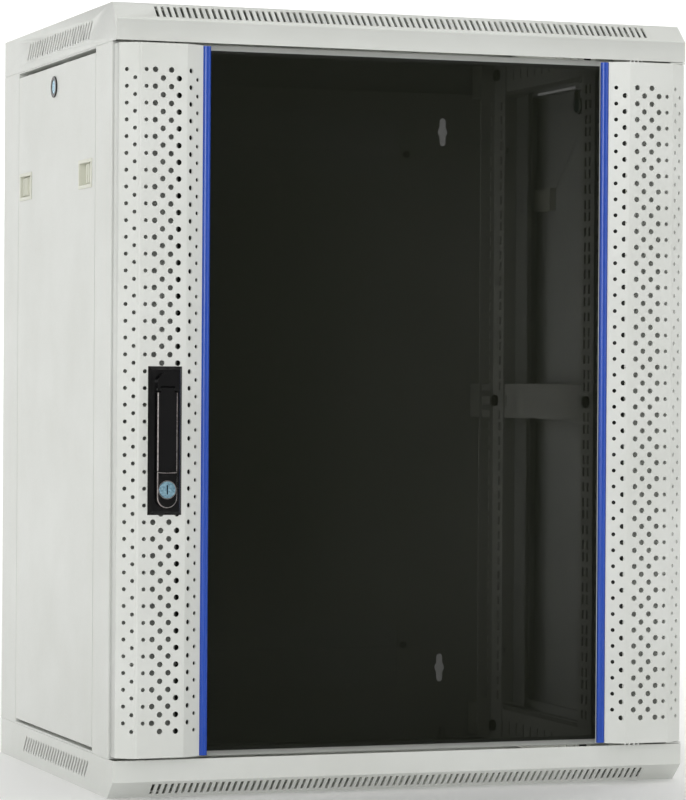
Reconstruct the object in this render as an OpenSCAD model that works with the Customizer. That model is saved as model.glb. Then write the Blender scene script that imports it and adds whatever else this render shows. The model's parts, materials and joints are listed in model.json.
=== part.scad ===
// Wall cabinet for 19 inch equipment: two ventilated covers, side frames, lift-out side panels,
// mounting rails and a glazed door between two bowed, perforated stiles.
// Axes: +X to the right seen from the door, +Y towards the wall, +Z up. Origin: bottom centre of the box.

/* [Cabinet] */
// Height of the equipment space, in rack units
rack_units = 15; // [9:1:18]
// Width over the side frames
body_w = 600; // [580:5:650]
// Depth from the cover faces to the back
body_d = 450; // [430:5:600]
// Sheet thickness of covers, frames and stiles
sheet = 1.5; // [1.2:0.1:2]

/* [Covers] */
// Height of each cover
cover_h = 38; // [36:1:44]
// Height of the upright lip along a cover's front
cover_lip = 21; // [18:1:24]
// Depth of the sloping part of a cover's front
slope_d = 18.5; // [14:0.5:24]
// Number of vent slots along a cover's front
front_slots = 81; // [41:2:81]
// Number of leaning vent slots in a cover's side
side_slots = 25; // [11:2:25]

/* [Door] */
// Distance that the stiles bow out past the cover faces
bow = 13.5; // [10:0.5:16]
// Width of one stile
stile_w = 84; // [80:1:90]
// Rows of holes in one column of a stile
hole_rows = 40; // [20:1:40]
// Vertical distance between the holes of one column
hole_pitch = 16.11; // [15.5:0.01:16.2]
// Glass thickness
glass_t = 5; // [4:1:6]
// Height of the key lock's centre in the door handle
lock_z = 299.6; // [280:1:340]

/* [Rails] */
// Depth of the front rails behind the cover faces
front_rail_y = 56; // [50:1:90]
// Depth of the rear rails' holed face behind the cover faces
rear_rail_y = 374; // [300:1:374]
// Clear width between the rails
rack_clear = 450; // [448:1:452]
// Distance between the two columns of equipment holes
rack_hole_gap = 465.1; // [464:0.1:466]

/* [Side panels] */
// Distance from the cover face to a side panel's front edge
panel_y = 77; // [70:1:90]
// Width of a side panel
panel_w = 309; // [300:1:320]
// Height of the finger latches' centres
latch_z = 609; // [550:1:650]
// Height of the side locks' centres
side_lock_z = 705; // [690:1:708]

/* [Wall fixing] */
// Distance between the wall fixing points, across
wall_gap_x = 416; // [380:2:420]
// Distance between the wall fixing points, up
wall_gap_z = 607; // [400:1:620]

/* [Hidden] */
unit = 44.45;
body_h = rack_units * unit + 103.25;
mid_z = body_h / 2;
half_w = body_w / 2;
door_z0 = cover_h + 3;
door_z1 = body_h - cover_h - 3;
door_h = door_z1 - door_z0;

handle_plate_t = 4;
lever_t = 5.5;
front_proud = bow + handle_plate_t + 0.5 + lever_t;
front = front_proud - (body_d + front_proud) / 2;
back = front + body_d;
frame_y = front + 17;
rear_sheet_y = back - 2 * sheet;

lock_post_w = 67;
hinge_post_w = 47;
opening_gap = 1;
panel_z0 = cover_h + 5;
panel_z1 = body_h - cover_h - 6;
opening_z0 = panel_z0 - 3;
opening_z1 = body_h - cover_h - sheet;
recess = 12;
panel_depth = recess - 2.2;

rail_t = 2;
rail_edge = rack_clear / 2;
rail_web_x = rail_edge + 16.6;
rail_z0 = 12;
rail_z1 = body_h - 12;
rail_web_front = 73;
rail_web_rear = 31;
square_hole = 9.5;
beam_x = rail_web_x + rail_t;
beam_h = 38;
rail_screw_front_y = front + front_rail_y + 54;
rail_screw_rear_y = front + rear_rail_y - 11;
rail_screw_z = [23, mid_z, body_h - 23];
rear_screw_z = [100, mid_z, body_h - 100];

stile_edge = half_w - 2;
stile_inner = stile_edge - stile_w;
shoulder_x = stile_edge - 18;
return_x = stile_inner + 19;
stile_edge_y = front - 1.5;
stile_face_y = front - bow;
stile_lip_y = front - 3;
flange_y = front + 0.2;
seal_y = flange_y + sheet;
seal_t = 1;
glass_y = seal_y + seal_t;
glass_overlap = 22;
trim_w = 8;

hinge_x = stile_edge - 6.5;
hinge_y = front + 5;
hinge_pin_r = 2.5;

handle_x = -(half_w - 46.3);
handle_w = 34;
handle_z0 = lock_z - 24.5;
handle_z1 = lock_z + 118.5;
front_plate_y = stile_face_y - handle_plate_t;
lever_y = front_plate_y - 0.5;
lever_w = 20;
spindle_z = handle_z1 - 15.8;
spindle_r = 4;
lift_z = spindle_z - 6.4;
lift_y = lever_y - lever_t / 2;
lever_low_z = lock_z + 17.2;
lever_reach = spindle_z - lever_low_z;
key_r = 8;
cam_y = frame_y + sheet + 1.2;

latch_w = 48;
latch_h = 27;
latch_depth = 9;
latch_ys = [front + 113, front + 354];
side_lock_y = front + 236;

powder = "#E4E4DE";
inner_grey = "#C9CAC4";
trim_blue = "#2354B4";
black = "#141416";
steel = "#B8BCC0";

// ---------- shared shapes ----------

// A box given by its lowest and highest corners
module box(low, high) {
    translate(low)
        cube(high - low);
}

// A cylinder along X from x0 to x1
module rod_x(x0, x1, y, z, r) {
    translate([x0, y, z])
        rotate([0, 90, 0])
            cylinder(h = x1 - x0, r = r, $fn = 48);
}

// A cylinder along Y from y0 to y1
module rod_y(y0, y1, x, z, r) {
    translate([x, y0, z])
        rotate([-90, 0, 0])
            cylinder(h = y1 - y0, r = r, $fn = 48);
}

// The right-hand twin of a left-hand shape
module other_side() {
    mirror([1, 0, 0])
        children();
}

// ---------- covers ----------

// A cover seen from the side, shrunk inwards by t, with its open edge at z = 0
module cover_profile(t) {
    rise = (cover_h - cover_lip) / slope_d;
    drop = t * sqrt(1 + rise * rise);
    low = t > 0 ? -1 : 0;
    polygon([
        [t, low],
        [t, cover_lip + t * rise - drop],
        [(cover_h - t - cover_lip + drop) / rise, cover_h - t],
        [body_d - t, cover_h - t],
        [body_d - t, low]
    ]);
}

module cover_block(w, t) {
    translate([-w / 2, front, 0])
        rotate([90, 0, 90])
            linear_extrude(w)
                cover_profile(t);
}

// A ventilated cover with its open edge at z = 0; lean tilts the side slots
module cover(lean) {
    slope_angle = atan2(cover_h - cover_lip, slope_d);
    front_pitch = (body_w - 85) / 80;
    side_pitch = 10.2;
    difference() {
        cover_block(body_w, 0);
        cover_block(body_w - 2 * sheet, sheet);
        for (i = [0 : front_slots - 1])
            translate([(i - (front_slots - 1) / 2) * front_pitch, front + slope_d / 2, (cover_lip + cover_h) / 2])
                rotate([slope_angle, 0, 0])
                    cube([3, 17, 6], center = true);
        for (i = [0 : side_slots - 1])
            translate([0, front + 220 + (i - (side_slots - 1) / 2) * side_pitch, 18])
                rotate([lean, 0, 0])
                    cube([body_w + 2, 4, 22], center = true);
    }
}

module roof_cover() {
    color(powder)
        translate([0, 0, body_h - cover_h])
            cover(42);
}

module floor_cover() {
    color(powder)
        translate([0, 0, cover_h])
            mirror([0, 0, 1])
                cover(-42);
}

// ---------- body frame ----------

// Left side frame: outer sheet with the panel opening, its recess, turned-in flanges and lock keeper;
// post_w is the width of the flange that faces the door
module side_frame(post_w, lock_window) {
    z0 = cover_h;
    z1 = body_h - cover_h;
    y0 = front + panel_y - opening_gap;
    y1 = front + panel_y + panel_w + opening_gap;
    difference() {
        union() {
            box([-half_w, frame_y, z0], [-half_w + sheet, back, z1]);
            box([-half_w, frame_y, z0], [-half_w + post_w, frame_y + sheet, z1]);
            box([-half_w, back - sheet, z0], [-half_w + 30, back, z1]);
            for (z = [z0, z1 - sheet])
                box([-half_w, frame_y, z], [-half_w + 20, rear_sheet_y, z + sheet]);
            box([-half_w, y0 - sheet, opening_z0 - sheet], [-half_w + recess, y1 + sheet, z1]);
        }
        box([-half_w - 1, y0, opening_z0], [-half_w + recess - sheet, y1, opening_z1]);
        box([-half_w - 1, y0 + 10, opening_z0 + 10], [-half_w + recess + 1, y1 - 10, opening_z1]);
        for (z = rear_screw_z)
            rod_y(back - sheet - 1, back + 1, -half_w + 16, z, 2.1);
        if (lock_window)
            box([handle_x - 18, frame_y - 1, spindle_z - 22], [handle_x + 30, frame_y + sheet + 1, spindle_z + 14]);
    }
    box([-half_w + recess, side_lock_y - 15, z1 - 9], [-half_w + recess + sheet, side_lock_y + 15, z1 - 0.5 * sheet]);
}

module side_frame_left() {
    color(powder)
        side_frame(lock_post_w, true);
}

module side_frame_right() {
    color(powder)
        other_side()
            side_frame(hinge_post_w, false);
}

// Angle that joins the side frames above or below the door opening, drawn for the bottom
module front_beam() {
    x0 = -half_w + lock_post_w;
    box([x0, frame_y, cover_h], [half_w - hinge_post_w, frame_y + sheet, cover_h + 9]);
    box([x0, frame_y, cover_h], [beam_x - 1, frame_y + 24, cover_h + sheet]);
}

module front_beam_bottom() {
    color(powder)
        front_beam();
}

module front_beam_top() {
    color(powder)
        translate([0, 0, body_h])
            mirror([0, 0, 1])
                front_beam();
}

// Double-ended keyhole: a round middle with a slot above and below it
module keyhole() {
    circle(r = 6, $fn = 48);
    square([7.6, 24], center = true);
    for (s = [-1, 1])
        translate([0, s * 12])
            circle(r = 3.8, $fn = 48);
}

module rear_panel() {
    color(inner_grey)
        translate([0, rear_sheet_y + sheet, 0])
            rotate([90, 0, 0])
                linear_extrude(sheet)
                    difference() {
                        translate([-half_w + sheet, cover_h])
                            square([body_w - 2 * sheet, body_h - 2 * cover_h]);
                        for (sx = [-1, 1], sz = [-1, 1])
                            translate([sx * wall_gap_x / 2, mid_z + sz * wall_gap_z / 2])
                                keyhole();
                        for (z = [60, body_h - 132])
                            translate([-157, z])
                                square([314, 72]);
                        for (x = [-163.6, 163.6], z = [108, body_h - 108])
                            translate([x, z])
                                circle(r = 2.1, $fn = 24);
                        for (x = [-half_w + 16, half_w - 16], z = rear_screw_z)
                            translate([x, z])
                                circle(r = 2.1, $fn = 24);
                    }
}

// Plate that closes a cable entry, with its middle pressed inwards
module cable_plate() {
    difference() {
        union() {
            box([-170, back - sheet, 52], [170, back, 140]);
            box([-150, rear_sheet_y - 1, 64], [150, back, 106]);
        }
        box([-148, rear_sheet_y - 1 + sheet, 66], [148, back + 1, 104]);
        for (x = [-163.6, 163.6])
            rod_y(back - 3, back + 1, x, 108, 2.1);
    }
}

module cable_plate_lower() {
    color(powder)
        cable_plate();
}

module cable_plate_upper() {
    color(powder)
        translate([0, 0, body_h])
            mirror([0, 0, 1])
                cable_plate();
}

// Pan-head screw through the rear sheets, head inside the cabinet
module rear_screw(x, z) {
    rod_y(rear_sheet_y - 2.4, rear_sheet_y, x, z, 4);
    rod_y(rear_sheet_y - 0.5, back, x, z, 2);
}

module cable_plate_screws() {
    color(black)
        for (x = [-163.6, 163.6], z = [108, body_h - 108])
            rear_screw(x, z);
}

module rear_panel_screws() {
    color(black)
        for (x = [-half_w + 16, half_w - 16], z = rear_screw_z)
            rear_screw(x, z);
}

// ---------- beams and rails ----------

// Slotted channel that carries the rail ends, left side
module depth_beam(z0) {
    z1 = z0 + beam_h;
    difference() {
        union() {
            box([-beam_x - sheet, frame_y + sheet, z0], [-beam_x, rear_sheet_y, z1]);
            for (z = [z0, z1 - sheet])
                box([-beam_x - 18, frame_y + sheet, z], [-beam_x, rear_sheet_y, z + sheet]);
        }
        for (y = [front + 43 : 20 : front + 423])
            translate([-beam_x - sheet - 1, y - 1.5, z0 + 12])
                cube([sheet + 2, 3, 14]);
        for (y = [rail_screw_front_y, rail_screw_rear_y], z = rail_screw_z)
            rod_x(-beam_x - sheet - 1, -beam_x + 1, y, z, 3.2);
    }
}

module depth_beam_bottom_left() {
    color(inner_grey)
        depth_beam(5);
}

module depth_beam_bottom_right() {
    color(inner_grey)
        other_side()
            depth_beam(5);
}

module depth_beam_top_left() {
    color(inner_grey)
        depth_beam(body_h - 5 - beam_h);
}

module depth_beam_top_right() {
    color(inner_grey)
        other_side()
            depth_beam(body_h - 5 - beam_h);
}

// Half-height angle that steadies the middle of the rails, left side
module mid_bar() {
    y0 = front + front_rail_y - 6;
    difference() {
        union() {
            box([-beam_x - sheet, y0, mid_z - 19], [-beam_x, rear_sheet_y, mid_z + 19]);
            box([-beam_x - 18, y0, mid_z + 19 - sheet], [-beam_x, rear_sheet_y, mid_z + 19]);
        }
        for (y = [rail_screw_front_y, rail_screw_rear_y])
            rod_x(-beam_x - sheet - 1, -beam_x + 1, y, mid_z, 3.2);
        for (y = [rail_screw_front_y + 16, rail_screw_rear_y - 24])
            translate([-beam_x - sheet - 1, y - 1.5, mid_z - 6])
                cube([sheet + 2, 3, 12]);
    }
}

module mid_bar_left() {
    color(inner_grey)
        mid_bar();
}

module mid_bar_right() {
    color(inner_grey)
        other_side()
            mid_bar();
}

// Heights of the equipment holes: three in each rack unit
hole_zs = [for (u = [0 : rack_units - 1], k = [6.35, 22.225, 38.1]) mid_z - rack_units * unit / 2 + u * unit + k];

// Holed face of a rail, in the plane y
module rail_face(y) {
    translate([-rail_edge, y + rail_t, 0])
        rotate([90, 0, 0])
            linear_extrude(rail_t)
                difference() {
                    translate([-rail_web_x - rail_t + rail_edge, rail_z0])
                        square([rail_web_x + rail_t - rail_edge, rail_z1 - rail_z0]);
                    for (z = hole_zs)
                        translate([rail_edge - rack_hole_gap / 2, z])
                            square(square_hole, center = true);
                }
}

// Slotted web of a rail from y0 to y1, with slot columns and one screw row
module rail_web(y0, y1, slot_ys, slot_w, screw_y) {
    translate([-rail_web_x - rail_t, 0, 0])
        rotate([90, 0, 90])
            linear_extrude(rail_t)
                difference() {
                    translate([y0, rail_z0])
                        square([y1 - y0, rail_z1 - rail_z0]);
                    for (y = slot_ys, z = hole_zs)
                        if (abs(z - mid_z) > 1)
                            translate([y, z])
                                square([slot_w, 9], center = true);
                    for (z = rail_screw_z)
                        translate([screw_y, z])
                            circle(r = 3.3, $fn = 32);
                }
}

module front_rail() {
    rail_face(front + front_rail_y);
    rail_web(front + front_rail_y, front + front_rail_y + rail_web_front,
        [rail_screw_front_y - 3, rail_screw_front_y + 8], 5, rail_screw_front_y);
}

module rear_rail() {
    rail_face(front + rear_rail_y - rail_t);
    rail_web(front + rear_rail_y - rail_web_rear, front + rear_rail_y,
        [front + rear_rail_y - 21], 6, rail_screw_rear_y);
}

module front_rail_left() {
    color(inner_grey)
        front_rail();
}

module front_rail_right() {
    color(inner_grey)
        other_side()
            front_rail();
}

module rear_rail_left() {
    color(inner_grey)
        rear_rail();
}

module rear_rail_right() {
    color(inner_grey)
        other_side()
            rear_rail();
}

// Cross-recessed pan-head screws that hold the rails to the beams
module rail_screws() {
    color(black)
        for (s = [-1, 1], y = [rail_screw_front_y, rail_screw_rear_y], z = rail_screw_z)
            scale_x(s)
                difference() {
                    union() {
                        rod_x(-rail_web_x, -rail_web_x + 4, y, z, 6.25);
                        rod_x(-beam_x - 6, -rail_web_x + 0.5, y, z, 3);
                    }
                    box([-rail_web_x + 2.5, y - 3, z - 0.7], [-rail_web_x + 5, y + 3, z + 0.7]);
                    box([-rail_web_x + 2.5, y - 0.7, z - 3], [-rail_web_x + 5, y + 0.7, z + 3]);
                }
}

// The left-hand shape for s = -1 and its twin for s = 1
module scale_x(s) {
    if (s < 0)
        children();
    else
        other_side()
            children();
}

// ---------- side panels ----------

// Left side panel: a flush pan with turned-in edges, holed for its lock and latches
module side_panel() {
    y0 = front + panel_y;
    y1 = y0 + panel_w;
    difference() {
        box([-half_w, y0, panel_z0], [-half_w + panel_depth, y1, panel_z1]);
        box([-half_w + sheet, y0 + sheet, panel_z0 + sheet], [-half_w + panel_depth + 1, y1 - sheet, panel_z1 - sheet]);
        rod_x(-half_w - 1, -half_w + 3, side_lock_y, side_lock_z, 9.2);
        for (y = latch_ys)
            box([-half_w - 1, y - latch_w / 2 + 1, latch_z - latch_h / 2 + 1],
                [-half_w + 3, y + latch_w / 2 - 1, latch_z + latch_h / 2 - 1]);
    }
}

module side_panel_left() {
    color(powder)
        side_panel();
}

module side_panel_right() {
    color(powder)
        other_side()
            side_panel();
}

// Lock barrel fixed in a side panel, with a rim outside and a nut inside
module side_lock() {
    difference() {
        union() {
            rod_x(-half_w - 1.4, -half_w, side_lock_y, side_lock_z, 11);
            rod_x(-half_w - 0.5, -half_w + 16, side_lock_y, side_lock_z, 9);
            rod_x(-half_w + sheet, -half_w + sheet + 4, side_lock_y, side_lock_z, 12);
        }
        rod_x(-half_w - 2, -half_w + 17, side_lock_y, side_lock_z, 7.05);
    }
}

module side_lock_left() {
    color(black)
        side_lock();
}

module side_lock_right() {
    color(black)
        other_side()
            side_lock();
}

// Keyed plug that turns in a side lock
module side_plug() {
    difference() {
        rod_x(-half_w - 1, -half_w + 18.4, side_lock_y, side_lock_z, 7);
        box([-half_w - 2, side_lock_y - 0.6, side_lock_z - 4], [-half_w + 8, side_lock_y + 0.6, side_lock_z + 4]);
    }
}

module side_plug_left() {
    color(steel)
        side_plug();
}

module side_plug_right() {
    color(steel)
        other_side()
            side_plug();
}

// Cam on a side plug; it points up to its keeper when locked
module side_cam() {
    difference() {
        union() {
            rod_x(-half_w + 16.4, -half_w + 18.4, side_lock_y, side_lock_z, 8.5);
            box([-half_w + 16.4, side_lock_y - 6, side_lock_z], [-half_w + 18.4, side_lock_y + 6, side_lock_z + 17]);
        }
        rod_x(-half_w + 16, -half_w + 19, side_lock_y, side_lock_z, 7);
    }
}

module side_cam_left() {
    color(steel)
        side_cam();
}

module side_cam_right() {
    color(steel)
        other_side()
            side_cam();
}

// Moulded case of a finger latch, recessed in the left panel around y
module latch_case(y) {
    wall = 1.5;
    low = latch_z - latch_h / 2;
    high = latch_z + latch_h / 2;
    difference() {
        union() {
            box([-half_w - 0.8, y - latch_w / 2 - 1, low - 1], [-half_w, y + latch_w / 2 + 1, high + 1]);
            box([-half_w - 0.8, y - latch_w / 2 + 1.1, low + 1.1],
                [-half_w + latch_depth, y + latch_w / 2 - 1.1, high - 1.1]);
        }
        box([-half_w - 2, y - latch_w / 2 + 1.1 + wall, low + 1.1 + wall],
            [-half_w + latch_depth - wall, y + latch_w / 2 - 1.1 - wall, high - 1.1 - wall]);
    }
}

// Finger slider inside a latch case; it sits towards the panel's edge on the side given by s
module latch_slider(y, s) {
    low = latch_z - latch_h / 2 + 3.2;
    high = latch_z + latch_h / 2 - 3.2;
    middle = y + s * 7.5;
    box([-half_w + 3.6, middle - 11, low], [-half_w + latch_depth - 1.9, middle + 11, high]);
    for (i = [-1 : 1])
        box([-half_w + 1, middle + i * 7 - 1.2, low + 1], [-half_w + 4, middle + i * 7 + 1.2, high - 1]);
}

module latch_case_left_front() {
    color(powder)
        latch_case(latch_ys[0]);
}

module latch_case_left_rear() {
    color(powder)
        latch_case(latch_ys[1]);
}

module latch_case_right_front() {
    color(powder)
        other_side()
            latch_case(latch_ys[0]);
}

module latch_case_right_rear() {
    color(powder)
        other_side()
            latch_case(latch_ys[1]);
}

module latch_slider_left_front() {
    color(powder)
        latch_slider(latch_ys[0], -1);
}

module latch_slider_left_rear() {
    color(powder)
        latch_slider(latch_ys[1], 1);
}

module latch_slider_right_front() {
    color(powder)
        other_side()
            latch_slider(latch_ys[0], -1);
}

module latch_slider_right_rear() {
    color(powder)
        other_side()
            latch_slider(latch_ys[1], 1);
}

// ---------- door ----------

// Left of a direction in the plan
function left_of(d) = [-d[1], d[0]] / norm(d);

// Corner i of a folded sheet, moved to its other face, t away
function far_corner(p, i, t) =
    let (
        before = left_of(i > 0 ? p[i] - p[i - 1] : p[1] - p[0]),
        after = left_of(i < len(p) - 1 ? p[i + 1] - p[i] : p[i] - p[i - 1])
    )
    p[i] + t * (before + after) / (1 + before * after);

// Plan of a sheet of thickness t folded along the corners p
module folded(p, t) {
    n = len(p);
    polygon(concat(p, [for (i = [n - 1 : -1 : 0]) far_corner(p, i, t)]));
}

// Outer corners of the left stile, from its outer edge round to the flange in front of the glass
stile_skin = [
    [-stile_edge, stile_edge_y],
    [-shoulder_x, stile_face_y],
    [-return_x, stile_face_y],
    [-stile_inner, stile_lip_y],
    [-stile_inner, flange_y],
    [-stile_inner + trim_w, flange_y]
];

// Hole columns of the left stile: distance from its outer edge, half-row shift and radius
hole_columns = [
    [6.5, 0, 2], [13.5, 1, 2], [24.1, 0, 2], [33, 0, 2.75], [40.9, 1, 2.75],
    [49.1, 0, 2.75], [57, 1, 2.75], [69.6, 0, 2.5], [77.4, 1, 2]
];

// The face that a distance d from the outer edge lies on: 0 outer slope, 1 flat, 2 inner slope
function face_of(d) = d < 18 ? 0 : d < stile_w - 19 ? 1 : 2;

// Drill for one hole of the left stile, square to the face that it goes through
module stile_drill(d, z, r) {
    a = stile_skin[face_of(d)];
    b = stile_skin[face_of(d) + 1];
    x = -stile_edge + d;
    y = a[1] + (b[1] - a[1]) * (x - a[0]) / (b[0] - a[0]);
    translate([x, y, z])
        rotate([0, 0, atan2(b[1] - a[1], b[0] - a[0])])
            rotate([90, 0, 0])
                cylinder(h = 6, r = r, center = true, $fn = 24);
}

// Left stile: folded, perforated sheet with closed ends; its outer edge returns back to return_y
module stile(return_y) {
    edge = [-stile_edge, return_y];
    top_z = mid_z + (hole_rows - 0.5) * hole_pitch / 2;
    difference() {
        union() {
            translate([0, 0, door_z0])
                linear_extrude(door_h)
                    folded(concat([edge], stile_skin), sheet);
            for (z = [door_z0, door_z1 - sheet])
                translate([0, 0, z])
                    linear_extrude(sheet)
                        polygon(concat([edge], [for (i = [0 : 4]) stile_skin[i]]));
        }
        for (c = hole_columns, i = [0 : hole_rows - 1])
            stile_drill(c[0], top_z - (i + c[1] / 2) * hole_pitch, c[2]);
    }
}

module door_stile_left() {
    color(powder)
        difference() {
            stile(frame_y - 2);
            box([handle_x - 14, stile_face_y - 1, handle_z0 + 5], [handle_x + 14, front, handle_z1 - 5]);
        }
}

module door_stile_right() {
    guide_z = door_z1 - 24;
    color(powder)
        difference() {
            union() {
                translate([0, 0, body_h])
                    rotate([0, 180, 0])
                        stile(front + 10);
                box([hinge_x - 6, front - 1, guide_z], [stile_edge - sheet + 0.1, front + 9.9, guide_z + sheet]);
            }
            for (z = [door_z0, guide_z, door_z1 - sheet])
                translate([hinge_x, hinge_y, z - 1])
                    cylinder(h = sheet + 2, r = hinge_pin_r + 0.05, $fn = 48);
        }
}

module door_glass() {
    glass_edge = stile_inner + glass_overlap;
    color([0.1, 0.12, 0.12, 0.5])
        box([-glass_edge, glass_y, door_z0 + 4], [glass_edge, glass_y + glass_t, door_z1 - 4]);
}

// Convex strip along the stile's flange, beside the glass
module trim_strip() {
    translate([-stile_inner + trim_w / 2, flange_y, door_z0 + 0.5])
        linear_extrude(door_h - 1)
            intersection() {
                translate([-trim_w / 2 + 0.1, -5])
                    square([trim_w - 0.2, 5]);
                translate([0, 0.6])
                    circle(r = 5.2, $fn = 64);
            }
}

module trim_strip_left() {
    color(trim_blue)
        trim_strip();
}

module trim_strip_right() {
    color(trim_blue)
        other_side()
            trim_strip();
}

// Soft strip that holds the glass behind the flange of the left stile
module glass_seal() {
    box([-stile_inner, seal_y, door_z0 + 4], [-stile_inner + trim_w - 0.5, seal_y + seal_t, door_z1 - 4]);
}

module glass_seal_left() {
    color(black)
        glass_seal();
}

module glass_seal_right() {
    color(black)
        other_side()
            glass_seal();
}

// ---------- door handle ----------

// Extrudes a plan drawn in X and Z towards the front, from y back by t
module plate_y(y, t) {
    translate([0, y, 0])
        rotate([90, 0, 0])
            linear_extrude(t)
                children();
}

// Plate with bevelled edges, the box of the lock behind it and the lock block in front
module handle_plate() {
    bevel = 3.4;
    color(black)
        difference() {
            union() {
                intersection() {
                    translate([handle_x, stile_face_y, 0])
                        linear_extrude(body_h)
                            polygon([
                                [-handle_w / 2, 0], [handle_w / 2, 0],
                                [handle_w / 2 - bevel, -handle_plate_t], [-handle_w / 2 + bevel, -handle_plate_t]
                            ]);
                    translate([-half_w, stile_face_y, 0])
                        rotate([90, 0, 90])
                            linear_extrude(half_w)
                                polygon([
                                    [0, handle_z0], [0, handle_z1],
                                    [-handle_plate_t, handle_z1 - bevel], [-handle_plate_t, handle_z0 + bevel]
                                ]);
                }
                box([handle_x - 13, stile_face_y - 1, handle_z0 + 6], [handle_x + 13, front - 4, handle_z1 - 6]);
                plate_y(front_plate_y + 1, lever_t + 1.5)
                    difference() {
                        union() {
                            translate([handle_x, lock_z - 7.6])
                                circle(r = lever_w / 2, $fn = 64);
                            translate([handle_x - lever_w / 2, lock_z - 7.6])
                                square([lever_w, lever_low_z + 6 - lock_z + 7.6]);
                        }
                        translate([handle_x, spindle_z])
                            circle(r = lever_reach + 0.6, $fn = 128);
                    }
            }
            rod_y(lever_y - lever_t - 2, front, handle_x, lock_z, key_r + 0.05);
            rod_y(lever_y - lever_t - 2, front, handle_x, spindle_z, spindle_r + 0.05);
        }
}

// Round head that turns with the spindle and carries the lever between two lugs
module lever_hub() {
    color(black) {
        difference() {
            union() {
                plate_y(lever_y, lever_t)
                    intersection() {
                        union() {
                            translate([handle_x, spindle_z])
                                circle(r = lever_w / 2, $fn = 64);
                            translate([handle_x - lever_w / 2, lift_z])
                                square([lever_w, spindle_z - lift_z]);
                        }
                        translate([handle_x - lever_w / 2, lift_z + lever_t / 2 + 0.35])
                            square([lever_w, lever_w]);
                    }
                for (s = [-1, 1]) {
                    x = handle_x + s * (lever_w / 2 - 1.4);
                    rod_x(x - 1.4, x + 1.4, lift_y, lift_z, lever_t / 2);
                    box([x - 1.4, lever_y - lever_t, lift_z], [x + 1.4, lever_y, lift_z + 4]);
                }
            }
            rod_x(handle_x - lever_w, handle_x + lever_w, lift_y, lift_z, 1);
        }
        rod_y(lever_y - 1, cam_y + 5, handle_x, spindle_z, spindle_r);
    }
}

// Lever that lies over the plate; its lower end is an arc about the spindle
module handle_lever() {
    tongue_w = lever_w - 2 * 3.2;
    color(black)
        difference() {
            union() {
                plate_y(lever_y, lever_t)
                    intersection() {
                        translate([handle_x - lever_w / 2, 0])
                            square([lever_w, lift_z - 3.1]);
                        translate([handle_x, spindle_z])
                            circle(r = lever_reach, $fn = 128);
                    }
                rod_x(handle_x - tongue_w / 2, handle_x + tongue_w / 2, lift_y, lift_z, lever_t / 2);
                box([handle_x - tongue_w / 2, lever_y - lever_t, lift_z - 4],
                    [handle_x + tongue_w / 2, lever_y, lift_z]);
            }
            rod_x(handle_x - lever_w, handle_x + lever_w, lift_y, lift_z, 1.05);
        }
}

module lever_pin() {
    color(steel)
        rod_x(handle_x - lever_w / 2, handle_x + lever_w / 2, lift_y, lift_z, 1);
}

// Keyed cylinder of the door lock
module key_cylinder() {
    color(steel)
        difference() {
            rod_y(lever_y - lever_t - 0.4, front - 2, handle_x, lock_z, key_r);
            box([handle_x - 0.6, lever_y - lever_t - 2, lock_z - 4.5],
                [handle_x + 0.6, lever_y - lever_t + 8, lock_z + 4.5]);
        }
}

// Flat cam on the spindle's inner end; it points outwards when the door is latched
module latch_cam() {
    color(steel)
        plate_y(cam_y + 2, 2)
            difference() {
                union() {
                    translate([handle_x, spindle_z])
                        circle(r = 8, $fn = 48);
                    translate([handle_x - 17, spindle_z - 7])
                        square([17, 14]);
                }
                translate([handle_x, spindle_z])
                    circle(r = spindle_r, $fn = 48);
            }
}

// Hexagon nut that holds the cam
module cam_nut() {
    color(steel)
        plate_y(cam_y + 5, 3)
            translate([handle_x, spindle_z])
                difference() {
                    circle(r = 7, $fn = 6);
                    circle(r = spindle_r, $fn = 48);
                }
}

// ---------- door hinges and small parts ----------

// Sprung pin at the top of the door, with a collar and a finger bar to pull it down
module upper_hinge_pin() {
    color(steel) {
        translate([hinge_x, hinge_y, door_z1 - 30])
            cylinder(h = 32.4, r = hinge_pin_r, $fn = 48);
        translate([hinge_x, hinge_y, door_z1 - 12])
            cylinder(h = 2, r = 4.4, $fn = 48);
        rod_x(hinge_x - 9, hinge_x, hinge_y, door_z1 - 28, 1.2);
    }
}

// Fixed pin at the foot of the door, with the washer that the door turns on
module lower_hinge_pin() {
    color(steel) {
        translate([hinge_x, hinge_y, door_z0 - 2.5])
            cylinder(h = 12, r = hinge_pin_r, $fn = 48);
        translate([hinge_x, hinge_y, door_z0 - 1])
            cylinder(h = 0.8, r = 4.4, $fn = 48);
    }
}

// Angle on the side frame that holds a hinge pin, drawn for the bottom
module hinge_bracket() {
    difference() {
        union() {
            box([hinge_x - 8, front - 0.5, door_z0 - 2.5], [half_w - 0.5, frame_y, door_z0 - 1]);
            box([hinge_x - 8, frame_y - sheet, door_z0 - 2.5], [half_w - 0.5, frame_y, door_z0 + 16]);
        }
        translate([hinge_x, hinge_y, door_z0 - 4])
            cylinder(h = 6, r = hinge_pin_r + 0.05, $fn = 48);
    }
}

module hinge_bracket_bottom() {
    color(powder)
        hinge_bracket();
}

module hinge_bracket_top() {
    color(powder)
        translate([0, 0, body_h])
            mirror([0, 0, 1])
                hinge_bracket();
}

// Earth stud with its nut, on the floor near the back
module earth_stud() {
    color(steel)
        translate([wall_gap_x / 2 - 3, back - 20, sheet]) {
            cylinder(h = 14, r = 3, $fn = 32);
            cylinder(h = 5, r = 5.8, $fn = 6);
        }
}

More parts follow.
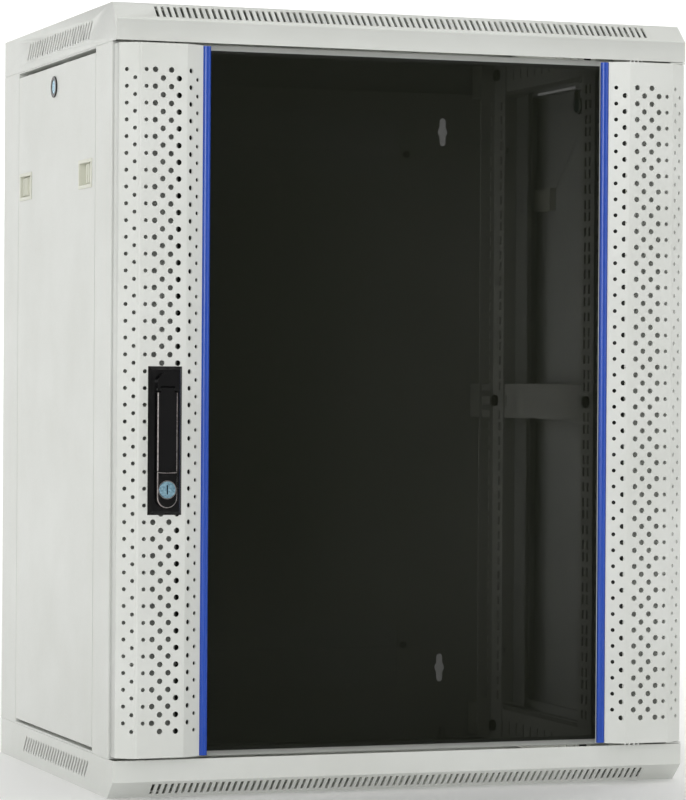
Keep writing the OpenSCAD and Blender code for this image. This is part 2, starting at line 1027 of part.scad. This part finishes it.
roof_cover();
floor_cover();
side_frame_left();
side_frame_right();
front_beam_top();
front_beam_bottom();
rear_panel();
cable_plate_upper();
cable_plate_lower();
cable_plate_screws();
rear_panel_screws();
depth_beam_top_left();
depth_beam_top_right();
depth_beam_bottom_left();
depth_beam_bottom_right();
mid_bar_left();
mid_bar_right();
front_rail_left();
front_rail_right();
rear_rail_left();
rear_rail_right();
rail_screws();
side_panel_left();
side_panel_right();
side_lock_left();
side_lock_right();
side_plug_left();
side_plug_right();
side_cam_left();
side_cam_right();
latch_case_left_front();
latch_case_left_rear();
latch_case_right_front();
latch_case_right_rear();
latch_slider_left_front();
latch_slider_left_rear();
latch_slider_right_front();
latch_slider_right_rear();
door_stile_left();
door_stile_right();
door_glass();
trim_strip_left();
trim_strip_right();
glass_seal_left();
glass_seal_right();
handle_plate();
lever_hub();
handle_lever();
lever_pin();
key_cylinder();
latch_cam();
cam_nut();
upper_hinge_pin();
lower_hinge_pin();
hinge_bracket_top();
hinge_bracket_bottom();
earth_stud();
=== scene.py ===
"""Looks of a light grey 19 inch wall cabinet with a tinted glass door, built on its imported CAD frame."""
import json
import math

import bmesh
import bpy
from mathutils import Matrix, Vector


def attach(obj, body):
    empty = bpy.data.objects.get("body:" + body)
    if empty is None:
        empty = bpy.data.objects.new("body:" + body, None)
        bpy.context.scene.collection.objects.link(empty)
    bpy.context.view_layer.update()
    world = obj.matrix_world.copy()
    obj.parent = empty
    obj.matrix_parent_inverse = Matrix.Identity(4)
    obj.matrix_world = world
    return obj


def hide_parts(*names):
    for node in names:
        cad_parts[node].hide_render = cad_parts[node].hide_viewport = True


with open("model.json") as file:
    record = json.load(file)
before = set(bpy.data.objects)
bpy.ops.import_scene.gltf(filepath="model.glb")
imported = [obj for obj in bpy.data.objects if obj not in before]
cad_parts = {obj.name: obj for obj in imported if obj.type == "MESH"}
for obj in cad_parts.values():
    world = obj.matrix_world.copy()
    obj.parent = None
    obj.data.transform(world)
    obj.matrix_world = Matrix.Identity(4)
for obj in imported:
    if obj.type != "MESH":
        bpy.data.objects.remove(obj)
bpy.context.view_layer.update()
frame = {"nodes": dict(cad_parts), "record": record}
MM = 0.001
UNIT = 44.45 * MM
UNITS = 15
MID_Z = 385 * MM


# ---------- materials ----------

def linear(hex_colour):
    """An sRGB hex colour as linear RGBA."""
    parts = [int(hex_colour[i:i + 2], 16) / 255 for i in (1, 3, 5)]
    return tuple(c / 12.92 if c <= 0.04045 else ((c + 0.055) / 1.055) ** 2.4 for c in parts) + (1.0,)


def add(tree, kind, settings=None, **inputs):
    """Adds a node; settings are its properties, inputs are socket values or output sockets to link."""
    node = tree.nodes.new(kind)
    for name, value in (settings or {}).items():
        setattr(node, name, value)
    for name, value in inputs.items():
        socket = node.inputs[int(name[3:]) if name.startswith("in_") else name.replace("_", " ")]
        if isinstance(value, bpy.types.NodeSocket):
            tree.links.new(value, socket)
        else:
            socket.default_value = value
    return node


def start_material(name):
    material = bpy.data.materials.new(name)
    material.use_nodes = True
    tree = material.node_tree
    tree.nodes.clear()
    place = add(tree, "ShaderNodeTexCoord").outputs["Object"]
    return material, tree, place


def finish_material(tree, **inputs):
    shader = add(tree, "ShaderNodeBsdfPrincipled", **inputs)
    add(tree, "ShaderNodeOutputMaterial", Surface=shader.outputs["BSDF"])


def grain(tree, place, size, detail=2.0):
    """Noise whose lumps are about size metres across."""
    return add(tree, "ShaderNodeTexNoise", Vector=place, Scale=0.7 / size, Detail=detail).outputs["Fac"]


def spread(tree, value, low, high):
    """Noise value 0.3 to 0.7 stretched to low to high."""
    return add(tree, "ShaderNodeMapRange", Value=value, From_Min=0.3, From_Max=0.7,
               To_Min=low, To_Max=high).outputs["Result"]


def tint(tree, value, dark, light):
    ramp = add(tree, "ShaderNodeMix", {"data_type": "RGBA"}, Factor=value)
    ramp.inputs[6].default_value = linear(dark)
    ramp.inputs[7].default_value = linear(light)
    return ramp.outputs[2]


def powder_coat(name, dark, light, low_rough, high_rough):
    """Polyester powder coat on steel sheet, baked: fine orange peel that breaks up the soft gloss."""
    material, tree, place = start_material(name)
    cloud = grain(tree, place, 60 * MM, 3.0)
    peel = grain(tree, place, 1.6 * MM)
    speckle = grain(tree, place, 0.5 * MM)
    height = add(tree, "ShaderNodeMath", {"operation": "MULTIPLY_ADD"}, in_0=speckle, in_1=0.35, in_2=peel).outputs[0]
    bump = add(tree, "ShaderNodeBump", Strength=0.16, Distance=0.12 * MM, Height=height).outputs["Normal"]
    finish_material(tree, Base_Color=tint(tree, spread(tree, cloud, 0.0, 1.0), dark, light),
                    Roughness=spread(tree, peel, low_rough, high_rough), Normal=bump, IOR=1.5)
    return material


def black_abs():
    """Moulded black ABS: glossy, with a faint mould grain and a thin haze of handling."""
    material, tree, place = start_material("black_abs_moulding")
    fine = grain(tree, place, 0.35 * MM)
    haze = grain(tree, place, 14 * MM, 3.0)
    bump = add(tree, "ShaderNodeBump", Strength=0.06, Distance=0.05 * MM, Height=fine).outputs["Normal"]
    finish_material(tree, Base_Color=tint(tree, spread(tree, haze, 0.0, 1.0), "#060607", "#0C0B0C"),
                    Roughness=spread(tree, haze, 0.07, 0.13), Normal=bump, IOR=1.53, Specular_IOR_Level=0.18)
    return material


def painted_edge_highlight():
    """Painted highlight on the edges of the lever and the lock block: a light grey colour painted where the black
    moulding catches the light.
    """
    material, tree, place = start_material("painted_highlight_abs_edge")
    # The noise varies the painted highlight's tone and roughness at random.
    wear = grain(tree, place, 2.5 * MM, 3.0)
    finish_material(tree, Base_Color=tint(tree, spread(tree, wear, 0.0, 1.0), "#7E7877", "#A39C9A"),
                    Roughness=spread(tree, wear, 0.2, 0.35), IOR=1.53)
    return material


def white_abs():
    """Light grey ABS of the finger latches: a little warmer and smoother than the sheet around it."""
    material, tree, place = start_material("light_abs_moulding")
    fine = grain(tree, place, 0.4 * MM)
    cloud = grain(tree, place, 20 * MM)
    bump = add(tree, "ShaderNodeBump", Strength=0.08, Distance=0.05 * MM, Height=fine).outputs["Normal"]
    finish_material(tree, Base_Color=tint(tree, cloud, "#D6D7C8", "#DEDFD2"),
                    Roughness=spread(tree, fine, 0.34, 0.44), Normal=bump, IOR=1.53)
    return material


def nickel_plate():
    """Nickel-plated zinc lock: mirror-like with fine turning rings and a cool cast."""
    material, tree, place = start_material("nickel_plated_zinc")
    wear = grain(tree, place, 1.2 * MM, 4.0)
    bump = add(tree, "ShaderNodeBump", Strength=0.08, Distance=0.04 * MM, Height=wear).outputs["Normal"]
    finish_material(tree, Base_Color=tint(tree, spread(tree, wear, 0.0, 1.0), "#6C92A6", "#A6CADB"),
                    Metallic=1.0, Roughness=spread(tree, wear, 0.12, 0.24), Normal=bump)
    return material


def zinc_plate():
    """Bright zinc plating on steel: satin, with the uneven bloom of the bath."""
    material, tree, place = start_material("bright_zinc_plated_steel")
    bloom = grain(tree, place, 4 * MM, 4.0)
    finish_material(tree, Base_Color=tint(tree, spread(tree, bloom, 0.0, 1.0), "#A7A9A6", "#C6C8C4"),
                    Metallic=1.0, Roughness=spread(tree, bloom, 0.28, 0.42))
    return material


def black_oxide():
    """Blackened steel screws: dark and satin, brighter where the driver rubbed."""
    material, tree, place = start_material("blackened_steel")
    rub = grain(tree, place, 1.5 * MM, 3.0)
    finish_material(tree, Base_Color=tint(tree, spread(tree, rub, 0.0, 1.0), "#0D0D0E", "#232324"),
                    Metallic=0.6, Roughness=spread(tree, rub, 0.25, 0.4))
    return material


def rubber():
    """Extruded EPDM strip and buffers: matt black with a dusty bloom."""
    material, tree, place = start_material("epdm_rubber")
    dust = grain(tree, place, 5 * MM, 3.0)
    finish_material(tree, Base_Color=tint(tree, dust, "#101010", "#1E1D1C"),
                    Roughness=spread(tree, dust, 0.7, 0.85), IOR=1.45)
    return material


def blue_strip():
    """Blue PVC edge strip: smooth glossy extrusion with faint draw lines along its length."""
    material, tree, place = start_material("blue_pvc_extrusion")
    along = add(tree, "ShaderNodeMapping", Vector=place, Scale=(1.0, 1.0, 0.01)).outputs["Vector"]
    draw = grain(tree, along, 0.8 * MM)
    bump = add(tree, "ShaderNodeBump", Strength=0.05, Distance=0.05 * MM, Height=draw).outputs["Normal"]
    finish_material(tree, Base_Color=tint(tree, spread(tree, draw, 0.0, 1.0), "#033FA6", "#0848B6"),
                    Roughness=spread(tree, draw, 0.2, 0.3), Normal=bump, IOR=1.53)
    return material


def tinted_glass():
    """Toughened float glass, dark grey through its body: it lets a quarter of the light through."""
    material, tree, place = start_material("grey_toughened_glass")
    roll = grain(tree, place, 90 * MM)
    bump = add(tree, "ShaderNodeBump", Strength=0.02, Distance=0.1 * MM, Height=roll).outputs["Normal"]
    finish_material(tree, Base_Color=linear("#12140C"), Roughness=0.03, Alpha=0.76, Normal=bump, IOR=1.45,
                    Specular_IOR_Level=0.06)
    return material


def printed_ink():
    """Black screen print of the rack unit marks on the rails."""
    material, tree, place = start_material("black_screen_print")
    edge = grain(tree, place, 0.3 * MM)
    finish_material(tree, Base_Color=tint(tree, edge, "#0E0E0E", "#1C1C1B"), Roughness=0.5)
    return material


POWDER = powder_coat("light_grey_powder_coat", "#D6D8D3", "#DDDFDB", 0.34, 0.46)
INNER = powder_coat("inner_grey_powder_coat", "#D3D4CC", "#DADBD3", 0.4, 0.5)
BLACK = black_abs()
WHITE_ABS = white_abs()
NICKEL = nickel_plate()
ZINC = zinc_plate()
SCREW = black_oxide()
EDGE = painted_edge_highlight()
RUBBER = rubber()
BLUE = blue_strip()
GLASS = tinted_glass()
INK = printed_ink()
FINISH = {
    "powder_coat": POWDER, "inner_coat": INNER, "black_screw": SCREW, "black_plastic": BLACK,
    "lock_metal": NICKEL, "zinc_steel": ZINC, "white_plastic": WHITE_ABS, "tinted_glass": GLASS,
    "blue_trim": BLUE, "black_rubber": RUBBER,
}
SLOT_OF = {s["node"]: s["material_slot"] for s in frame["record"]["subparts"]}
BODY_OF = {n: b for b, members in frame["record"]["behaviour"]["bodies"].items() for n in members}


# ---------- mesh helpers ----------

def only(piece):
    """Makes piece the one selected and active object."""
    bpy.ops.object.select_all(action="DESELECT")
    piece.select_set(True)
    bpy.context.view_layer.objects.active = piece


def set_finish(piece, material):
    piece.data.materials.clear()
    piece.data.materials.append(material)


def smooth(piece, angle=35):
    """Smooth shading that leaves the wide flat faces flat beside their rounded edges."""
    only(piece)
    bpy.ops.object.shade_smooth_by_angle(angle=math.radians(angle))
    weigh = piece.modifiers.new("flat_faces_lead", "WEIGHTED_NORMAL")
    weigh.keep_sharp = True
    bpy.ops.object.modifier_apply(modifier=weigh.name)


def pick_edges(piece, test):
    """In edit mode, selects the edges that test accepts and returns how many there are."""
    mesh = bmesh.from_edit_mesh(piece.data)
    count = 0
    for e in mesh.edges:
        e.select_set(False)
    for e in mesh.edges:
        if len(e.link_faces) == 2 and test(e):
            e.select_set(True)
            count += 1
    bmesh.update_edit_mesh(piece.data)
    return count


def is_fold(e):
    """A bend between two wide faces, as against the cut edge of a sheet."""
    length = e.calc_length()
    return (length > 25 * MM and abs(e.calc_face_angle_signed(0)) > 0.2
            and min(f.calc_area() for f in e.link_faces) / length > 3.5 * MM)


def is_sharp(e):
    return abs(e.calc_face_angle_signed(0)) > 0.6


def is_long_sharp(e):
    return e.calc_length() > 6 * MM and is_sharp(e)


def is_front_rim(e):
    """The outline of the foremost face."""
    front_y = min(v.co.y for v in bmesh.from_edit_mesh(bpy.context.object.data).verts)
    return is_sharp(e) and all(v.co.y < front_y + 0.1 * MM for v in e.verts)


def is_long_upright_rim(e):
    """The two long sides of the foremost face."""
    return is_front_rim(e) and e.calc_length() > 20 * MM and abs(e.verts[0].co.x - e.verts[1].co.x) < MM


def refined(node, fold=1.6 * MM, edge=0.3 * MM, edge_test=is_long_sharp, segments=2, rim=None):
    """A merged copy of a CAD node with its folds rounded and its edges broken; it stands for the node.

    rim is the finish of the broken edges where they differ from the rest; the handle gives its rims a light grey
    painted highlight."""
    source = frame["nodes"][node]
    piece = bpy.data.objects.new(node + "_formed", source.data.copy())
    bpy.context.scene.collection.objects.link(piece)
    only(piece)
    set_finish(piece, FINISH[SLOT_OF[node]])
    bpy.ops.object.mode_set(mode="EDIT")
    bpy.ops.mesh.select_mode(type="EDGE")
    bpy.ops.mesh.select_all(action="SELECT")
    bpy.ops.mesh.remove_doubles(threshold=0.01 * MM)
    bpy.ops.mesh.dissolve_limited(angle_limit=math.radians(1.0))
    if fold and pick_edges(piece, is_fold):
        bpy.ops.mesh.bevel(offset=fold, segments=3, affect="EDGES", clamp_overlap=True)
    if edge and pick_edges(piece, edge_test):
        bpy.ops.mesh.bevel(offset=edge, segments=segments, affect="EDGES", clamp_overlap=True)
        if rim:
            piece.data.materials.append(rim)
            piece.active_material_index = 1
            bpy.ops.object.material_slot_assign()
    bpy.ops.object.mode_set(mode="OBJECT")
    smooth(piece)
    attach(piece, BODY_OF[node])
    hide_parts(node)
    return piece


def finished(piece, body, material):
    """Last steps of a new piece: its place goes into its mesh, then its finish and body."""
    only(piece)
    bpy.ops.object.transform_apply(location=True, rotation=True, scale=True)
    set_finish(piece, material)
    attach(piece, body)
    return piece


# ---------- sheet metal and rails ----------

for node in ("roof_cover", "floor_cover"):
    refined(node, fold=1.8 * MM)
for node in ("side_frame_left", "side_frame_right"):
    refined(node, fold=1.6 * MM)
for node in ("door_stile_left", "door_stile_right"):
    refined(node, fold=1.9 * MM)
for node in ("side_panel_left", "side_panel_right"):
    refined(node, fold=1.2 * MM)
for node in ("front_beam_top", "front_beam_bottom", "rear_panel", "cable_plate_upper", "cable_plate_lower",
             "hinge_bracket_top", "hinge_bracket_bottom", "depth_beam_top_left", "depth_beam_top_right",
             "depth_beam_bottom_left", "depth_beam_bottom_right", "mid_bar_left", "mid_bar_right",
             "front_rail_left", "front_rail_right", "rear_rail_left", "rear_rail_right"):
    refined(node, fold=1.2 * MM)


# ---------- moulded and turned parts ----------

# The rims of the handle plate and the lever get the light grey painted highlight instead of a real finish.
refined("handle_plate", fold=0, edge=0.9 * MM, edge_test=is_front_rim, segments=1, rim=EDGE)
refined("handle_lever", fold=0, edge=1.0 * MM, edge_test=is_long_upright_rim, segments=1, rim=EDGE)
refined("lever_hub", fold=0, edge=1.0 * MM, edge_test=is_front_rim, segments=1)
for node in ("trim_strip_left", "trim_strip_right", "glass_seal_left", "glass_seal_right"):
    refined(node, fold=0, edge=0.2 * MM)
refined("door_glass", fold=0, edge=0.6 * MM)
for node in ("latch_case_left_front", "latch_case_left_rear", "latch_case_right_front", "latch_case_right_rear",
             "latch_slider_left_front", "latch_slider_left_rear", "latch_slider_right_front",
             "latch_slider_right_rear"):
    refined(node, fold=0, edge=0.4 * MM, edge_test=is_sharp, segments=3)
for node in ("side_lock_left", "side_lock_right", "side_plug_left", "side_plug_right", "key_cylinder",
             "rail_screws", "cable_plate_screws", "rear_panel_screws"):
    refined(node, fold=0, edge=0.25 * MM, edge_test=is_sharp, segments=2)


# ---------- rack unit marks ----------

def unit_marks(side):
    """A tick at every unit line and a number between the holes, printed on one front rail."""
    rail = frame["nodes"]["front_rail_left" if side < 0 else "front_rail_right"]
    face_y = min((rail.matrix_world @ v.co).y for v in rail.data.vertices) - 0.03 * MM
    parts = []
    for unit in range(UNITS + 1):
        line_z = MID_Z + (unit - UNITS / 2) * UNIT
        bpy.ops.mesh.primitive_cube_add(size=1, location=(side * 228.6 * MM, face_y, line_z))
        tick = bpy.context.object
        tick.scale = (6 * MM, 0.04 * MM, 0.45 * MM)
        bpy.ops.object.transform_apply(location=True, rotation=True, scale=True)
        parts.append(tick)
        if unit < UNITS:
            bpy.ops.object.text_add(location=(side * 228.8 * MM, face_y, line_z + 12.9 * MM),
                                    rotation=(math.radians(90), 0, 0))
            number = bpy.context.object
            number.data.body = str(unit + 1)
            number.data.size = 4.6 * MM
            number.data.align_x = "CENTER"
            number.data.resolution_u = 2
            bpy.ops.object.convert(target="MESH")
            bpy.ops.object.transform_apply(location=True, rotation=True, scale=True)
            parts.append(bpy.context.object)
    bpy.ops.object.select_all(action="DESELECT")
    for part in parts:
        part.select_set(True)
    bpy.context.view_layer.objects.active = parts[0]
    bpy.ops.object.join()
    marks = bpy.context.object
    marks.name = "unit_marks_left" if side < 0 else "unit_marks_right"
    return finished(marks, "cabinet", INK)


for side in (-1, 1):
    unit_marks(side)

for node, carried in frame["nodes"].items():
    set_finish(carried, FINISH[SLOT_OF[node]])


# ---------- floor, light and camera ----------

def stage_cove():
    """A pale studio cove: floor, soft bend and back wall in one sheet."""
    bpy.ops.mesh.primitive_plane_add(size=1, location=(0, 0, 0))
    cove = bpy.context.object
    cove.name = "studio_cove"
    cove.scale = (30, 16, 1)
    bpy.ops.object.transform_apply(location=True, rotation=True, scale=True)
    only(cove)
    bpy.ops.object.mode_set(mode="EDIT")
    pick = bmesh.from_edit_mesh(cove.data)
    for e in pick.edges:
        e.select_set(all(v.co.y > 7.9 for v in e.verts))
    bmesh.update_edit_mesh(cove.data)
    bpy.ops.mesh.extrude_region_move(TRANSFORM_OT_translate={"value": (0, 0, 9)})
    pick_bend = bmesh.from_edit_mesh(cove.data)
    for e in pick_bend.edges:
        e.select_set(all(v.co.y > 7.9 and v.co.z < 0.01 for v in e.verts))
    bmesh.update_edit_mesh(cove.data)
    bpy.ops.mesh.bevel(offset=3.0, segments=12, affect="EDGES")
    bpy.ops.object.mode_set(mode="OBJECT")
    bpy.ops.object.shade_smooth()
    material, tree, place = start_material("pale_studio_paint")
    mottle = grain(tree, place, 300 * MM, 3.0)
    finish_material(tree, Base_Color=tint(tree, mottle, "#F0F0EF", "#F4F4F3"), Roughness=0.8,
                    Emission_Color=linear("#FFFFFF"), Emission_Strength=0.09)
    set_finish(cove, material)


def soft_light(name, place, target, width, height, power, colour="#FFFFFF"):
    data = bpy.data.lights.new(name, "AREA")
    data.shape = "RECTANGLE"
    data.size = width
    data.size_y = height
    data.energy = power
    data.color = linear(colour)[:3]
    lamp = bpy.data.objects.new(name, data)
    bpy.context.scene.collection.objects.link(lamp)
    aim = Vector(target) - Vector(place)
    lamp.matrix_world = Matrix.Translation(place) @ aim.to_track_quat("-Z", "Y").to_matrix().to_4x4()
    return lamp


def set_camera():
    """A long lens from low on the left, level with the middle of the cabinet."""
    yaw, pitch, roll = (math.radians(a) for a in (19.416, -0.259, 0.367))
    ahead = Vector((math.sin(yaw) * math.cos(pitch), math.cos(yaw) * math.cos(pitch), math.sin(pitch)))
    level = ahead.cross(Vector((0, 0, 1))).normalized()
    upright = level.cross(ahead)
    right = math.cos(roll) * level + math.sin(roll) * upright
    up = -math.sin(roll) * level + math.cos(roll) * upright
    data = bpy.data.cameras.new("camera")
    data.sensor_width = 36
    data.lens = 3405.4 / 800 * 36
    data.clip_start = 0.05
    data.clip_end = 100
    camera = bpy.data.objects.new("camera", data)
    bpy.context.scene.collection.objects.link(camera)
    turn = Matrix((right, up, -ahead)).transposed().to_4x4()
    camera.matrix_world = Matrix.Translation((-1.1808, -3.37215, 0.4016)) @ turn
    bpy.context.scene.camera = camera


stage_cove()
world = bpy.data.worlds.new("studio")
world.use_nodes = True
world.node_tree.nodes["Background"].inputs["Color"].default_value = (1, 1, 1, 1)
world.node_tree.nodes["Background"].inputs["Strength"].default_value = 0.1
bpy.context.scene.world = world
bpy.context.scene.view_settings.view_transform = "Standard"
soft_light("front_softbox", (-1.95, -4.3, 1.1), (0, 0, 0.38), 1.3, 1.3, 52)
soft_light("left_softbox", (-4.2, -1.7, 1.3), (0, 0, 0.4), 1.2, 2.6, 26)
soft_light("right_softbox", (3.6, -3.0, 1.4), (0, 0, 0.4), 1.3, 2.4, 20)
soft_light("right_rear_softbox", (4.2, 1.8, 1.2), (0, 0, 0.4), 1.2, 2.6, 40)
soft_light("overhead_softbox", (0.0, -0.5, 4.2), (0, 0, 0.4), 3.0, 3.0, 16)
soft_light("backdrop_light_left", (-3.5, 3.0, 3.0), (0, 8, 1.5), 3.0, 2.0, 130)
soft_light("backdrop_light_right", (3.5, 3.0, 3.0), (0, 8, 1.5), 3.0, 2.0, 130)
bounce = soft_light("bounce_inside_left", (-0.215, -0.02, 0.39), (0.3, 0.04, 0.39), 0.20, 0.62, 0.6)
bounce.data.spread = math.radians(60)
bounce.visible_camera = False
bounce.visible_glossy = False
set_camera()
